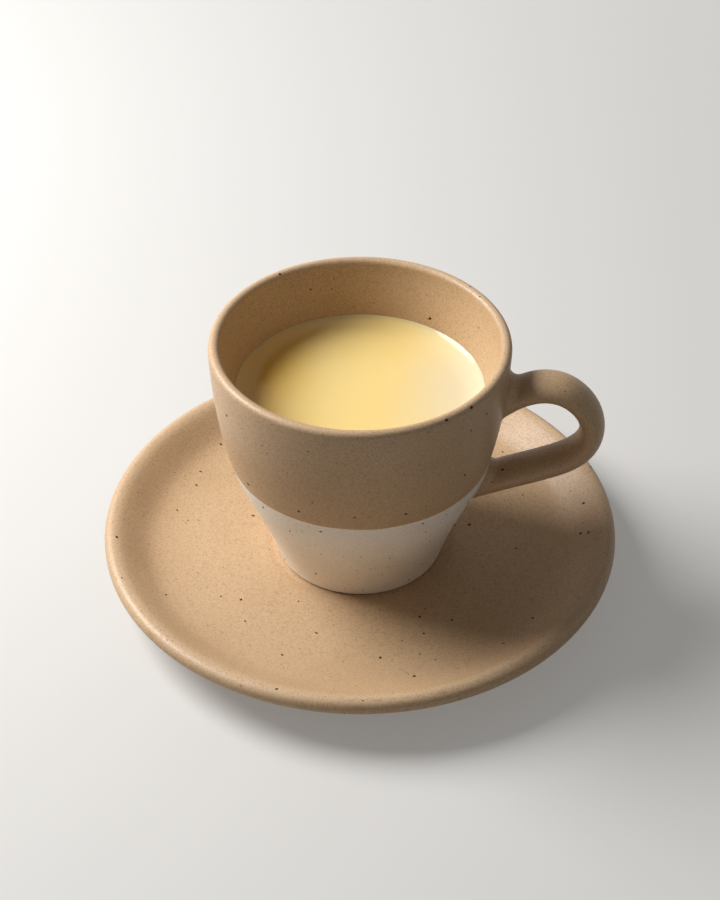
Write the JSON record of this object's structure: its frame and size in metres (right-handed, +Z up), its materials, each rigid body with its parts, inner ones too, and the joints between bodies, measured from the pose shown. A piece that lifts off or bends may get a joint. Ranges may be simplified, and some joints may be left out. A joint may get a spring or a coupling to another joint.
{
  "type": "milky coffee in a stoneware cup with its saucer",
  "caption": "Small stoneware coffee cup with a strap handle, filled with a warm pale yellow milky drink and standing on its round saucer with a rolled rim.",
  "frame": {"origin": "on the cup's axis, at the level of the surface that the saucer stands on", "axes": "+Z up along the cup's axis, +X out through the middle of the handle"},
  "size_m": [0.145, 0.145, 0.0775],
  "materials": {
    "cup_glaze": "satin speckled glaze, tan above and cream below",
    "saucer_glaze": "satin speckled tan glaze",
    "drink": "smooth opaque milky liquid"
  },
  "bodies": {
    "root": {"cup": "cup_glaze", "drink": "drink", "saucer": "saucer_glaze"}
  },
  "joints": []
}
